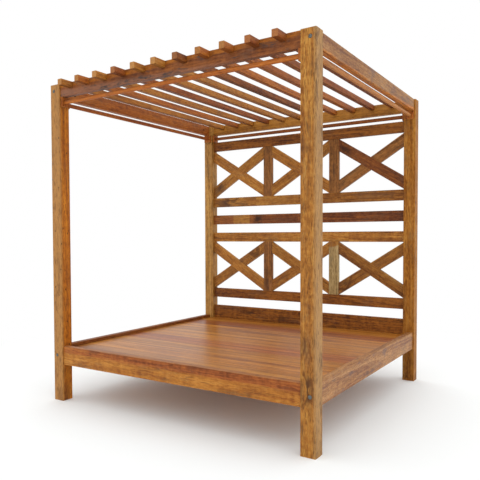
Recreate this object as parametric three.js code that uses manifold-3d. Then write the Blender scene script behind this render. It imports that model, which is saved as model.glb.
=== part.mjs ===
// Outdoor daybed with a slatted canopy: a knock-down timber frame, in millimetres.
// X runs to the right seen from the front, Y runs to the back panel, Z runs up from the floor.
// The origin lies on the floor under the middle of the frame.
import * as THREE from "three";
import { mergeVertices } from "three/addons/utils/BufferGeometryUtils.js";
import Module from "manifold-3d";

const wasm = await Module();
wasm.setup();

// The outside of the four posts
const FRAME_WIDTH = 1800;
const FRAME_DEPTH = 1800;
const FRAME_HEIGHT = 2000;

// Posts
const POST_SIDE = 80;
const POST_EASING = 3;

// Beams at the top and aprons at the bed, all of one thickness, set back from the posts' faces
const FRAME_BOARD_THICKNESS = 40;
const FRAME_BOARD_SETBACK = 10;
const BOARD_EASING = 2;
const BEAM_HEIGHT = 80;
const APRON_HEIGHT = 117;
const APRON_CLEARANCE = 231;
const FRAME_TENON_LENGTH = 34;
const FRAME_TENON_SHOULDER = 10;

// Canopy slats, let into the front and rear beams with their tops level
const SLAT_COUNT = 11;
const SLAT_WIDTH = 32;
const SLAT_HEIGHT = 36;
const SLAT_OVERHANG = 88;
const SLAT_END_SPACE = 76;
const SLAT_EASING = 1.5;

// Curtain rods and the square plates that hold them
const ROD_DIAMETER = 26;
const ROD_PLATE_SIDE = 60;
const ROD_PLATE_THICKNESS = 15;

// Bed boards and what carries them
const DECK_RECESS = 22;
const DECK_THICKNESS = 22;
const DECK_BOARD_WIDTH = 94;
const DECK_EDGE_SPACE = 2;
const DECK_GROOVE_WIDTH = 3;
const DECK_GROOVE_DEPTH = 2;
const LEDGER_SIDE = 30;
const BEARER_WIDTH = 40;
const BEARER_HEIGHT = 60;
const BEARER_TENON_LENGTH = 10;

// Back panel: rails, stiles and crossed braces of one board, centred in the posts.
// The list names what lies under each rail, from the top rail down.
const UNDER_BACK_RAILS = ["braces", "space", "space", "braces", "space"];
const BRACE_ROW_NAMES = ["upper", "lower"];
const PANEL_THICKNESS = 28;
const RAIL_HEIGHT = 78;
const RAIL_SPACE = 72;
const RAIL_TENON_LENGTH = 30;
const PANEL_TENON_SHOULDER = 8;
const PANEL_TOP_SPACE = 2;
const BOTTOM_BOARD_RISE = 110;
const STILE_WIDTH = 78;
const STILE_TENON_LENGTH = 12;
const BAYS_PER_ROW = 3;
const BRACE_WIDTH = 78;
const BRACE_EASING = 1.5;

// Bolts that draw the side boards to the posts, and the cross nuts that take them
const BOLT_BORE = 9;
const NUT_BORE = 16;
const NUT_BORE_DEPTH = 30;
const NUT_SET_IN = 80;
const BOLT_TIP_SPACE = 10;
const BOLT_SEAT = 21;
const BOLT_SEAT_DEPTH = 2;

// Countersunk holes for the screws that hold the slats and the rod plates
const SCREW_BORE = 4.5;
const SCREW_HEAD = 8.5;
const SCREW_SINK = 4;
const PLATE_SCREW_OFFSET = 21;

// Clearance in every joint, and how far a cutter runs past the face that it cuts
const JOINT_GAP = 0.3;
const CUT_OVERRUN = 4;

// Straight faces round a large circle and round a small one
const LARGE_SIDES = 24;
const SMALL_SIDES = 12;

const FINISHES = {
  post: { color: 0xb27a3e, roughness: 0.55, metalness: 0 },
  beam: { color: 0x9a6540, roughness: 0.55, metalness: 0 },
  apron: { color: 0xa96a36, roughness: 0.5, metalness: 0 },
  slat: { color: 0xb0652c, roughness: 0.55, metalness: 0 },
  rod: { color: 0xb9743f, roughness: 0.45, metalness: 0 },
  plate: { color: 0xa4602a, roughness: 0.5, metalness: 0 },
  deck: { color: 0xb98350, roughness: 0.3, metalness: 0 },
  carrier: { color: 0x8c5c33, roughness: 0.7, metalness: 0 },
  rail: { color: 0x8d5630, roughness: 0.55, metalness: 0 },
  stile: { color: 0x8a6538, roughness: 0.55, metalness: 0 },
  brace: { color: 0x9c6636, roughness: 0.55, metalness: 0 },
};

// Places that follow from the sizes above
const postX = (FRAME_WIDTH - POST_SIDE) / 2;
const postY = (FRAME_DEPTH - POST_SIDE) / 2;
const clearWidth = FRAME_WIDTH - 2 * POST_SIDE;
const clearDepth = FRAME_DEPTH - 2 * POST_SIDE;
const boardInset = FRAME_BOARD_SETBACK + FRAME_BOARD_THICKNESS / 2;
const boardX = FRAME_WIDTH / 2 - boardInset;
const boardY = FRAME_DEPTH / 2 - boardInset;
const beamZ = FRAME_HEIGHT - BEAM_HEIGHT / 2;
const beamBottomZ = FRAME_HEIGHT - BEAM_HEIGHT;
const apronZ = APRON_CLEARANCE + APRON_HEIGHT / 2;
const rodZ = beamBottomZ - ROD_PLATE_SIDE / 2;
const deckTopZ = APRON_CLEARANCE + APRON_HEIGHT - DECK_RECESS;
const deckBottomZ = deckTopZ - DECK_THICKNESS;
const bearerZ = deckBottomZ - JOINT_GAP - BEARER_HEIGHT / 2;
const panelY = postY;
const panelFrontY = panelY - PANEL_THICKNESS / 2;
const apronInsideX = boardX - FRAME_BOARD_THICKNESS / 2;
const apronInsideY = boardY - FRAME_BOARD_THICKNESS / 2;
const bottomBoardTopZ = deckTopZ + BOTTOM_BOARD_RISE;
const bottomBoardHeight = bottomBoardTopZ - APRON_CLEARANCE;
const bottomBoardZ = APRON_CLEARANCE + bottomBoardHeight / 2;
const panelTopZ = beamBottomZ - ROD_PLATE_SIDE - PANEL_TOP_SPACE;
const railsHeight = UNDER_BACK_RAILS.length * RAIL_HEIGHT;
const plainSpaces = UNDER_BACK_RAILS.length - BRACE_ROW_NAMES.length;
const spacesHeight = plainSpaces * RAIL_SPACE;
const braceRowHeight =
  (panelTopZ - bottomBoardTopZ - railsHeight - spacesHeight) / BRACE_ROW_NAMES.length;
const bayWidth = (clearWidth - (BAYS_PER_ROW - 1) * STILE_WIDTH) / BAYS_PER_ROW;
const stileXs = Array.from(
  { length: BAYS_PER_ROW - 1 },
  (_, index) => (index + 1 - BAYS_PER_ROW / 2) * (bayWidth + STILE_WIDTH),
);
const stileTenonWidth = STILE_WIDTH - 2 * PANEL_TENON_SHOULDER;
const stileTenonThickness = PANEL_THICKNESS - 2 * PANEL_TENON_SHOULDER;
const shoulderedWidth = clearWidth - 2 * JOINT_GAP;
const shoulderedDepth = clearDepth - 2 * JOINT_GAP;
const slatPitch = (clearWidth - 2 * SLAT_END_SPACE - SLAT_WIDTH) / (SLAT_COUNT - 1);
const slatXs = Array.from(
  { length: SLAT_COUNT }, (_, index) => (index - (SLAT_COUNT - 1) / 2) * slatPitch,
);

// The rails and brace rows from the top down. A rail's stileEdge is -1 where stiles meet it
// from below, 1 where they meet it from above and 0 where none do.
const rails = [];
const braceRows = [];
let railTopZ = panelTopZ;
UNDER_BACK_RAILS.forEach((under, index) => {
  const bracesUnder = under === "braces";
  const bracesOver = UNDER_BACK_RAILS[index - 1] === "braces";
  rails.push({
    z: railTopZ - RAIL_HEIGHT / 2,
    stileEdge: Number(bracesOver) - Number(bracesUnder),
  });
  railTopZ -= RAIL_HEIGHT;
  if (bracesUnder) {
    braceRows.push({
      name: BRACE_ROW_NAMES[braceRows.length],
      z: railTopZ - braceRowHeight / 2,
    });
    railTopZ -= braceRowHeight;
  } else {
    railTopZ -= RAIL_SPACE;
  }
});

const X = new THREE.Vector3(1, 0, 0);
const Y = new THREE.Vector3(0, 1, 0);
const Z = new THREE.Vector3(0, 0, 1);
const ALONG_X = new THREE.Matrix4().makeBasis(Y, Z, X);
const ALONG_Y = new THREE.Matrix4().makeBasis(Z, X, Y);
const ALONG_Z = new THREE.Matrix4();

// A closed three.js geometry as a solid that can be joined and cut
function solidOf(geometry) {
  const bare = geometry.clone();
  bare.deleteAttribute("normal");
  bare.deleteAttribute("uv");
  const merged = mergeVertices(bare);
  const mesh = new wasm.Mesh({
    numProp: 3,
    vertProperties: new Float32Array(merged.attributes.position.array),
    triVerts: new Uint32Array(merged.index.array),
  });
  return new wasm.Manifold(mesh);
}

// A solid as a three.js geometry
function geometryOf(solid) {
  const mesh = solid.getMesh();
  const geometry = new THREE.BufferGeometry();
  geometry.setAttribute("position", new THREE.BufferAttribute(mesh.vertProperties, 3));
  geometry.setIndex(new THREE.BufferAttribute(mesh.triVerts, 1));
  geometry.computeVertexNormals();
  return geometry;
}

// A rectangle whose four corners are cut off by the easing
function easedOutline(width, height, easing) {
  const x = width / 2;
  const y = height / 2;
  const outline = new THREE.Shape();
  outline.moveTo(-x + easing, -y);
  outline.lineTo(x - easing, -y);
  outline.lineTo(x, -y + easing);
  outline.lineTo(x, y - easing);
  outline.lineTo(x - easing, y);
  outline.lineTo(-x + easing, y);
  outline.lineTo(-x, y - easing);
  outline.lineTo(-x, -y + easing);
  outline.closePath();
  return outline;
}

// An outline drawn out to a length about its middle, then turned to run along an axis
function prism(outline, length, turn) {
  const geometry = new THREE.ExtrudeGeometry(outline, { depth: length, bevelEnabled: false });
  geometry.translate(0, 0, -length / 2);
  geometry.applyMatrix4(turn);
  return solidOf(geometry);
}

// A board along X: its width lies along Y and its height along Z
function boardAlongX(length, width, height, easing) {
  return prism(easedOutline(width, height, easing), length, ALONG_X);
}

// A board along Y: its width lies along X and its height along Z
function boardAlongY(length, width, height, easing) {
  return prism(easedOutline(height, width, easing), length, ALONG_Y);
}

function block(sizeX, sizeY, sizeZ, x, y, z) {
  return solidOf(new THREE.BoxGeometry(sizeX, sizeY, sizeZ).translate(x, y, z));
}

// A round bar about the axis named by its turn
function round(diameter, length, sides, turn, x, y, z) {
  const geometry = new THREE.CylinderGeometry(diameter / 2, diameter / 2, length, sides);
  geometry.rotateX(Math.PI / 2);
  geometry.applyMatrix4(turn);
  geometry.translate(x, y, z);
  return solidOf(geometry);
}

// A countersunk screw hole with its mouth at x, y, z. It opens along the axis named by its
// turn where mouth is 1, and the other way where mouth is -1.
function screwHole(depth, turn, mouth, x, y, z) {
  const flare = (SCREW_HEAD - SCREW_BORE) / SCREW_SINK;
  const sinkLength = SCREW_SINK + CUT_OVERRUN;
  const mouthDiameter = SCREW_HEAD + flare * CUT_OVERRUN;
  const sink = new THREE.CylinderGeometry(
    mouthDiameter / 2, SCREW_BORE / 2, sinkLength, SMALL_SIDES,
  );
  sink.translate(0, CUT_OVERRUN - sinkLength / 2, 0);
  const bore = new THREE.CylinderGeometry(SCREW_BORE / 2, SCREW_BORE / 2, depth, SMALL_SIDES);
  bore.translate(0, -depth / 2, 0);
  const cuts = [sink, bore].map((geometry) => {
    geometry.rotateX(mouth * Math.PI / 2);
    geometry.applyMatrix4(turn);
    geometry.translate(x, y, z);
    return solidOf(geometry);
  });
  return cuts[0].add(cuts[1]);
}

function piece(name, solid, finish, x, y, z) {
  const mesh = new THREE.Mesh(geometryOf(solid), new THREE.MeshStandardMaterial(finish));
  mesh.name = name;
  mesh.position.set(x, y, z);
  return mesh;
}

// A board along X with a tenon on each end, shouldered on all four sides
function tenonedBoard(length, width, height, easing, tenonLength, shoulder) {
  const tenon = block(
    length + 2 * tenonLength, width - 2 * shoulder, height - 2 * shoulder, 0, 0, 0,
  );
  return boardAlongX(length, width, height, easing).add(tenon);
}

// What a post loses to the tenon of a board that meets its inner face.
// inner is 1 where that face looks along +X and -1 where it looks along -X.
function postMortise(inner, y, z, width, height, shoulder, tenonLength) {
  const depth = tenonLength + JOINT_GAP;
  const sizeX = depth + CUT_OVERRUN;
  const x = inner * (POST_SIDE / 2 - depth + sizeX / 2);
  const sizeY = width - 2 * (shoulder - JOINT_GAP);
  const sizeZ = height - 2 * (shoulder - JOINT_GAP);
  return block(sizeX, sizeY, sizeZ, x, y, z);
}

function frontMortises(inner) {
  const y = -boardY + postY;
  const cuts = [];
  for (const [z, height] of [[beamZ, BEAM_HEIGHT], [apronZ, APRON_HEIGHT]]) {
    const width = FRAME_BOARD_THICKNESS;
    cuts.push(postMortise(inner, y, z, width, height, FRAME_TENON_SHOULDER, FRAME_TENON_LENGTH));
  }
  return cuts;
}

function rearMortises(inner) {
  const beamY = boardY - postY;
  const boards = rails.map((rail) => [rail.z, RAIL_HEIGHT]);
  boards.push([bottomBoardZ, bottomBoardHeight]);
  const cuts = boards.map(([z, height]) => postMortise(
    inner, 0, z, PANEL_THICKNESS, height, PANEL_TENON_SHOULDER, RAIL_TENON_LENGTH,
  ));
  cuts.push(postMortise(
    inner, beamY, beamZ, FRAME_BOARD_THICKNESS, BEAM_HEIGHT,
    FRAME_TENON_SHOULDER, FRAME_TENON_LENGTH,
  ));
  return cuts;
}

// A post stands on its own origin, with a bolt bore on the middle of each side board and a
// shallow seat round its outer end for the bolt's washer
function post(name, sideX, sideY) {
  const outline = easedOutline(POST_SIDE, POST_SIDE, POST_EASING);
  let solid = prism(outline, FRAME_HEIGHT, ALONG_Z).translate(0, 0, FRAME_HEIGHT / 2);
  const cuts = sideY < 0 ? frontMortises(-sideX) : rearMortises(-sideX);
  const boltX = sideX * (boardX - postX);
  const boreLength = POST_SIDE + 2 * CUT_OVERRUN;
  const seatLength = BOLT_SEAT_DEPTH + CUT_OVERRUN;
  const seatY = sideY * (POST_SIDE / 2 + CUT_OVERRUN - seatLength / 2);
  for (const z of [beamZ, apronZ]) {
    cuts.push(round(BOLT_BORE, boreLength, SMALL_SIDES, ALONG_Y, boltX, 0, z));
    cuts.push(round(BOLT_SEAT, seatLength, LARGE_SIDES, ALONG_Y, boltX, seatY, z));
  }
  for (const cut of cuts) {
    solid = solid.subtract(cut);
  }
  return piece(name, solid, FINISHES.post, sideX * postX, sideY * postY, 0);
}

// A front or rear beam, with a notch in its top for each slat
function slatBeam(name, side) {
  let solid = tenonedBoard(
    shoulderedWidth, FRAME_BOARD_THICKNESS, BEAM_HEIGHT, BOARD_EASING,
    FRAME_TENON_LENGTH, FRAME_TENON_SHOULDER,
  );
  const depth = SLAT_HEIGHT + JOINT_GAP;
  const notchZ = BEAM_HEIGHT / 2 - depth / 2 + CUT_OVERRUN / 2;
  const notchY = FRAME_BOARD_THICKNESS + 2 * CUT_OVERRUN;
  for (const x of slatXs) {
    const notch = block(
      SLAT_WIDTH + 2 * JOINT_GAP, notchY, depth + CUT_OVERRUN, x, 0, notchZ,
    );
    solid = solid.subtract(notch);
  }
  return piece(name, solid, FINISHES.beam, 0, side * boardY, beamZ);
}

// A side beam or apron, bored at each end for its bolt and across for the nut, from inside
function sideBoard(name, side, height, z, finish) {
  let solid = boardAlongY(shoulderedDepth, FRAME_BOARD_THICKNESS, height, BOARD_EASING);
  const boltLength = NUT_SET_IN + NUT_BORE / 2 + BOLT_TIP_SPACE + CUT_OVERRUN;
  const boltY = shoulderedDepth / 2 + CUT_OVERRUN - boltLength / 2;
  const nutY = shoulderedDepth / 2 - NUT_SET_IN;
  const nutLength = NUT_BORE_DEPTH + CUT_OVERRUN;
  const nutX = -side * (FRAME_BOARD_THICKNESS / 2 + CUT_OVERRUN - nutLength / 2);
  for (const end of [-1, 1]) {
    const bore = round(BOLT_BORE, boltLength, SMALL_SIDES, ALONG_Y, 0, end * boltY, 0);
    const nut = round(NUT_BORE, nutLength, SMALL_SIDES, ALONG_X, nutX, end * nutY, 0);
    solid = solid.subtract(bore).subtract(nut);
  }
  return piece(name, solid, finish, side * boardX, 0, z);
}

// What a board loses to the bearer's tenon, cut in from the board's face at y
function bearerMortise(y, boardZ) {
  const depth = 2 * (BEARER_TENON_LENGTH + JOINT_GAP);
  const width = BEARER_WIDTH - 2 * (PANEL_TENON_SHOULDER - JOINT_GAP);
  const height = BEARER_HEIGHT - 2 * (PANEL_TENON_SHOULDER - JOINT_GAP);
  return block(width, depth, height, 0, y, bearerZ - boardZ);
}

function frontApron() {
  const cut = bearerMortise(FRAME_BOARD_THICKNESS / 2, apronZ);
  const solid = tenonedBoard(
    shoulderedWidth, FRAME_BOARD_THICKNESS, APRON_HEIGHT, BOARD_EASING,
    FRAME_TENON_LENGTH, FRAME_TENON_SHOULDER,
  ).subtract(cut);
  return piece("apron_front", solid, FINISHES.apron, 0, -boardY, apronZ);
}

// A slat is screwed down into each beam that it is let into
function slat(index) {
  const length = 2 * (boardY + FRAME_BOARD_THICKNESS / 2 + SLAT_OVERHANG);
  const holeDepth = SLAT_HEIGHT + CUT_OVERRUN;
  let solid = boardAlongY(length, SLAT_WIDTH, SLAT_HEIGHT, SLAT_EASING);
  for (const y of [-boardY, boardY]) {
    solid = solid.subtract(screwHole(holeDepth, ALONG_Z, 1, 0, y, SLAT_HEIGHT / 2));
  }
  const name = `canopy_slat_${String(index + 1).padStart(2, "0")}`;
  return piece(name, solid, FINISHES.slat, slatXs[index], 0, FRAME_HEIGHT - SLAT_HEIGHT / 2);
}

// A rod reaches through the plates at its ends to the posts
function rod(name, length, turn, x, y) {
  const solid = round(ROD_DIAMETER, length, LARGE_SIDES, turn, 0, 0, 0);
  return piece(name, solid, FINISHES.rod, x, y, rodZ);
}

// A square plate on a post's face, bored through for its rod and for two screws, which go in
// from the side that faces the rod's middle: along its axis where mouth is 1
function rodPlate(name, turn, mouth, x, y) {
  const side = ROD_PLATE_SIDE - 2 * JOINT_GAP;
  const outline = easedOutline(side, side, BOARD_EASING);
  const bore = round(
    ROD_DIAMETER + 2 * JOINT_GAP, ROD_PLATE_THICKNESS + 2 * CUT_OVERRUN, LARGE_SIDES, turn, 0, 0, 0,
  );
  let solid = prism(outline, ROD_PLATE_THICKNESS, turn).subtract(bore);
  const holeDepth = ROD_PLATE_THICKNESS + CUT_OVERRUN;
  for (const offset of [-PLATE_SCREW_OFFSET, PLATE_SCREW_OFFSET]) {
    const place = new THREE.Vector3(offset, offset, mouth * ROD_PLATE_THICKNESS / 2);
    place.applyMatrix4(turn);
    solid = solid.subtract(screwHole(holeDepth, turn, mouth, place.x, place.y, place.z));
  }
  return piece(name, solid, FINISHES.plate, x, y, rodZ);
}

function curtainRods() {
  const group = new THREE.Group();
  const plateX = clearWidth / 2 - JOINT_GAP - ROD_PLATE_THICKNESS / 2;
  const plateY = clearDepth / 2 - JOINT_GAP - ROD_PLATE_THICKNESS / 2;
  for (const [name, side] of [["front", -1], ["rear", 1]]) {
    group.add(rod(`curtain_rod_${name}`, shoulderedWidth, ALONG_X, 0, side * postY));
    group.add(rodPlate(`rod_plate_${name}_left`, ALONG_X, 1, -plateX, side * postY));
    group.add(rodPlate(`rod_plate_${name}_right`, ALONG_X, -1, plateX, side * postY));
  }
  for (const [name, side] of [["left", -1], ["right", 1]]) {
    group.add(rod(`curtain_rod_${name}`, shoulderedDepth, ALONG_Y, side * postX, 0));
    group.add(rodPlate(`rod_plate_${name}_front`, ALONG_Y, 1, side * postX, -plateY));
    group.add(rodPlate(`rod_plate_${name}_rear`, ALONG_Y, -1, side * postX, plateY));
  }
  return group;
}

// The bed boards, tongued into one platform: a groove marks each joint on top
function deck() {
  const frontY = -apronInsideY + DECK_EDGE_SPACE;
  const rearY = panelFrontY - DECK_EDGE_SPACE;
  const boards = Math.round((rearY - frontY) / DECK_BOARD_WIDTH);
  const pitch = (rearY - frontY) / boards;
  const outline = new THREE.Shape();
  outline.moveTo(0, frontY);
  for (let joint = 1; joint < boards; joint += 1) {
    const y = frontY + joint * pitch;
    outline.lineTo(0, y - DECK_GROOVE_WIDTH / 2);
    outline.lineTo(-DECK_GROOVE_DEPTH, y);
    outline.lineTo(0, y + DECK_GROOVE_WIDTH / 2);
  }
  outline.lineTo(0, rearY);
  outline.lineTo(-DECK_THICKNESS, rearY);
  outline.lineTo(-DECK_THICKNESS, frontY);
  outline.closePath();
  const length = 2 * (apronInsideX - DECK_EDGE_SPACE);
  const turn = new THREE.Matrix4().makeBasis(Z, Y, X.clone().negate());
  let solid = prism(outline, length, turn);
  const cutSide = POST_SIDE + 2 * DECK_EDGE_SPACE;
  const cutHeight = DECK_THICKNESS + 2 * CUT_OVERRUN;
  for (const sideX of [-1, 1]) {
    for (const sideY of [-1, 1]) {
      const corner = block(
        cutSide, cutSide, cutHeight, sideX * postX, sideY * postY, -DECK_THICKNESS / 2,
      );
      solid = solid.subtract(corner);
    }
  }
  return piece("deck_boards", solid, FINISHES.deck, 0, 0, deckTopZ);
}

// A strip inside a side apron that carries the ends of the bed boards, clear of the nuts
function ledger(name, side) {
  const length = clearDepth - 2 * (NUT_SET_IN + NUT_BORE);
  const solid = boardAlongY(length, LEDGER_SIDE, LEDGER_SIDE, BOARD_EASING);
  const x = side * (apronInsideX - JOINT_GAP - LEDGER_SIDE / 2);
  const z = deckBottomZ - JOINT_GAP - LEDGER_SIDE / 2;
  return piece(name, solid, FINISHES.carrier, x, 0, z);
}

// The bearer under the middle of the bed, tenoned into the front apron and the bottom board
function bearer() {
  const frontY = -apronInsideY + JOINT_GAP;
  const rearY = panelFrontY - JOINT_GAP;
  const length = rearY - frontY;
  const tenon = block(
    BEARER_WIDTH - 2 * PANEL_TENON_SHOULDER, length + 2 * BEARER_TENON_LENGTH,
    BEARER_HEIGHT - 2 * PANEL_TENON_SHOULDER, 0, 0, 0,
  );
  const solid = boardAlongY(length, BEARER_WIDTH, BEARER_HEIGHT, BOARD_EASING).add(tenon);
  return piece("deck_bearer", solid, FINISHES.carrier, 0, (frontY + rearY) / 2, bearerZ);
}

function bottomBoard() {
  const cut = bearerMortise(-PANEL_THICKNESS / 2, bottomBoardZ);
  const solid = tenonedBoard(
    shoulderedWidth, PANEL_THICKNESS, bottomBoardHeight, BOARD_EASING,
    RAIL_TENON_LENGTH, PANEL_TENON_SHOULDER,
  ).subtract(cut);
  return piece("back_bottom_board", solid, FINISHES.rail, 0, panelY, bottomBoardZ);
}

// A back rail: where stiles meet one of its edges, it is mortised there for their tenons
function backRail(name, rail) {
  let solid = tenonedBoard(
    shoulderedWidth, PANEL_THICKNESS, RAIL_HEIGHT, BOARD_EASING,
    RAIL_TENON_LENGTH, PANEL_TENON_SHOULDER,
  );
  if (rail.stileEdge !== 0) {
    const depth = 2 * (STILE_TENON_LENGTH + JOINT_GAP);
    const width = stileTenonWidth + 2 * JOINT_GAP;
    const thickness = stileTenonThickness + 2 * JOINT_GAP;
    const z = rail.stileEdge * RAIL_HEIGHT / 2;
    for (const x of stileXs) {
      solid = solid.subtract(block(width, thickness, depth, x, 0, z));
    }
  }
  return piece(name, solid, FINISHES.rail, 0, panelY, rail.z);
}

function stile(name, x, z) {
  const height = braceRowHeight - 2 * JOINT_GAP;
  const outline = easedOutline(STILE_WIDTH, PANEL_THICKNESS, BOARD_EASING);
  const tenon = block(
    stileTenonWidth, stileTenonThickness, height + 2 * STILE_TENON_LENGTH, 0, 0, 0,
  );
  const solid = prism(outline, height, ALONG_Z).add(tenon);
  return piece(name, solid, FINISHES.stile, x, panelY, z);
}

// A brace fills its bay from corner to corner. Its ends are cut upright, and one corner of each
// end meets a rail, so the length of that cut follows from the board's width and the bay.
const braceRun = bayWidth - 2 * JOINT_GAP;
const braceRise = braceRowHeight - 2 * JOINT_GAP;
const braceCut =
  (BRACE_WIDTH *
    (braceRun * Math.sqrt(braceRun ** 2 + braceRise ** 2 - BRACE_WIDTH ** 2) -
      BRACE_WIDTH * braceRise)) /
  (braceRun ** 2 - BRACE_WIDTH ** 2);
const braceSlope = (braceRise - braceCut) / braceRun;

// fall is 1 for a brace that drops to the right and -1 for one that climbs to the right
function braceOutline(fall, halfRun, cut) {
  const drop = fall * braceSlope * halfRun;
  const outline = new THREE.Shape();
  outline.moveTo(-halfRun, drop - cut / 2);
  outline.lineTo(halfRun, -drop - cut / 2);
  outline.lineTo(halfRun, -drop + cut / 2);
  outline.lineTo(-halfRun, drop + cut / 2);
  outline.closePath();
  return outline;
}

function braceBoard(fall) {
  const geometry = new THREE.ExtrudeGeometry(braceOutline(fall, braceRun / 2, braceCut), {
    depth: PANEL_THICKNESS - 2 * BRACE_EASING,
    bevelThickness: BRACE_EASING,
    bevelSize: BRACE_EASING,
    bevelOffset: -BRACE_EASING,
    bevelSegments: 1,
  });
  geometry.translate(0, 0, -PANEL_THICKNESS / 2 + BRACE_EASING);
  geometry.rotateX(Math.PI / 2);
  return solidOf(geometry);
}

// Where two braces cross, each gives up half its thickness: the falling one at the back
function brace(name, fall, x, z) {
  const widened = braceCut + 2 * JOINT_GAP * Math.hypot(1, braceSlope);
  const depth = PANEL_THICKNESS / 2 + CUT_OVERRUN;
  const cutter = new THREE.ExtrudeGeometry(
    braceOutline(-fall, braceRun / 2, widened), { depth, bevelEnabled: false },
  );
  cutter.translate(0, 0, -depth / 2);
  cutter.rotateX(Math.PI / 2);
  cutter.translate(0, fall * (depth / 2 - JOINT_GAP / 2), 0);
  const solid = braceBoard(fall).subtract(solidOf(cutter));
  return piece(name, solid, FINISHES.brace, x, panelY, z);
}

function backPanel() {
  const group = new THREE.Group();
  group.add(bottomBoard());
  rails.forEach((rail, index) => {
    group.add(backRail(`back_rail_${index + 1}`, rail));
  });
  for (const row of braceRows) {
    stileXs.forEach((x, index) => {
      group.add(stile(`back_stile_${row.name}_${index + 1}`, x, row.z));
    });
    for (let bay = 0; bay < BAYS_PER_ROW; bay += 1) {
      const x = (bay + 1 / 2 - BAYS_PER_ROW / 2) * (bayWidth + STILE_WIDTH);
      group.add(brace(`brace_${row.name}_${bay + 1}_falling`, 1, x, row.z));
      group.add(brace(`brace_${row.name}_${bay + 1}_rising`, -1, x, row.z));
    }
  }
  return group;
}

function posts() {
  const group = new THREE.Group();
  for (const [front, sideY] of [["front", -1], ["rear", 1]]) {
    for (const [left, sideX] of [["left", -1], ["right", 1]]) {
      group.add(post(`post_${front}_${left}`, sideX, sideY));
    }
  }
  return group;
}

function bed() {
  const group = new THREE.Group();
  group.add(frontApron());
  for (const [name, side] of [["left", -1], ["right", 1]]) {
    group.add(sideBoard(`apron_${name}`, side, APRON_HEIGHT, apronZ, FINISHES.apron));
    group.add(ledger(`deck_ledger_${name}`, side));
  }
  group.add(bearer());
  group.add(deck());
  return group;
}

function canopy() {
  const group = new THREE.Group();
  group.add(slatBeam("beam_front", -1));
  group.add(slatBeam("beam_rear", 1));
  group.add(sideBoard("beam_left", -1, BEAM_HEIGHT, beamZ, FINISHES.beam));
  group.add(sideBoard("beam_right", 1, BEAM_HEIGHT, beamZ, FINISHES.beam));
  for (let index = 0; index < SLAT_COUNT; index += 1) {
    group.add(slat(index));
  }
  return group;
}

const group = new THREE.Group();
group.add(posts(), bed(), backPanel(), canopy(), curtainRods());

export default group;
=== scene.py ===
"""Finishes, fittings, studio and camera for a timber daybed with a slatted canopy.

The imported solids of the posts, beams, slats, rods, panel and bed frame stay as they are. Here
their edges are eased and each board is given its own piece of timber. The bed boards, bolts,
cross nuts and screws are made here.
"""

import logging
import math
import random
from collections.abc import Iterable, Iterator, Mapping, Sequence
from dataclasses import dataclass, field
from enum import Enum
from functools import cache
from typing import Any, Union

import bmesh
import bpy
from mathutils import Matrix, Vector


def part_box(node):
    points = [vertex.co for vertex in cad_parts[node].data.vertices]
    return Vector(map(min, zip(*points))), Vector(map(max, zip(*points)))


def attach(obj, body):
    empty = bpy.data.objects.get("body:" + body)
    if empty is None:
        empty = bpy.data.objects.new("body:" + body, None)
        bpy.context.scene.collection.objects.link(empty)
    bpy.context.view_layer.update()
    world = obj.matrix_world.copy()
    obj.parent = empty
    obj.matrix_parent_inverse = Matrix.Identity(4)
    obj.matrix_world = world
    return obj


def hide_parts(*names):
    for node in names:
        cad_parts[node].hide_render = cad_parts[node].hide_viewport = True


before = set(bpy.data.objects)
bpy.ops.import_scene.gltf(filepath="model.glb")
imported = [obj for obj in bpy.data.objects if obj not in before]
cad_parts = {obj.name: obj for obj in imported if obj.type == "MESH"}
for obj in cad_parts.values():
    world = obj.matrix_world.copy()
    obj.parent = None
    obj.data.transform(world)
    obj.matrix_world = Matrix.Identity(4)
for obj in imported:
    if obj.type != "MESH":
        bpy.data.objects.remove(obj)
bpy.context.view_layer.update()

log = logging.getLogger("daybed")
MM = 0.001
RIGHT = Vector((1, 0, 0))
BACK = Vector((0, 1, 0))
UP = Vector((0, 0, 1))

Row = tuple[float, ...]
Term = Union["Signal", float, int, Row]


def linear(hex_colour: str) -> Row:
    """Turns a hex colour into the linear red, green and blue that shaders use.

    Args:
        hex_colour: Six hexadecimal digits, with or without a leading hash.

    Returns:
        Linear red, green and blue from 0 to 1.
    """
    digits = hex_colour.lstrip("#")
    shares = [int(digits[start:start + 2], 16) / 255 for start in (0, 2, 4)]
    return tuple(
        share / 12.92 if share <= 0.04045 else ((share + 0.055) / 1.055) ** 2.4
        for share in shares
    )


def add_object(name: str, data: bpy.types.ID) -> bpy.types.Object:
    """Adds an object to the scene.

    Args:
        name: The object's name.
        data: Its mesh or camera.

    Returns:
        The object.
    """
    made = bpy.data.objects.new(name, data)
    bpy.context.scene.collection.objects.link(made)
    return made


def add_solid(
    name: str, shape: bmesh.types.BMesh, finish: bpy.types.Material
) -> bpy.types.Object:
    """Turns a shape into an object whose faces look outward.

    Args:
        name: The object's name.
        shape: The shape, which is freed.
        finish: The object's material.

    Returns:
        The object.
    """
    mesh = bpy.data.meshes.new(name)
    bmesh.ops.recalc_face_normals(shape, faces=shape.faces)
    shape.to_mesh(mesh)
    shape.free()
    mesh.materials.append(finish)
    return add_object(name, mesh)


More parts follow.
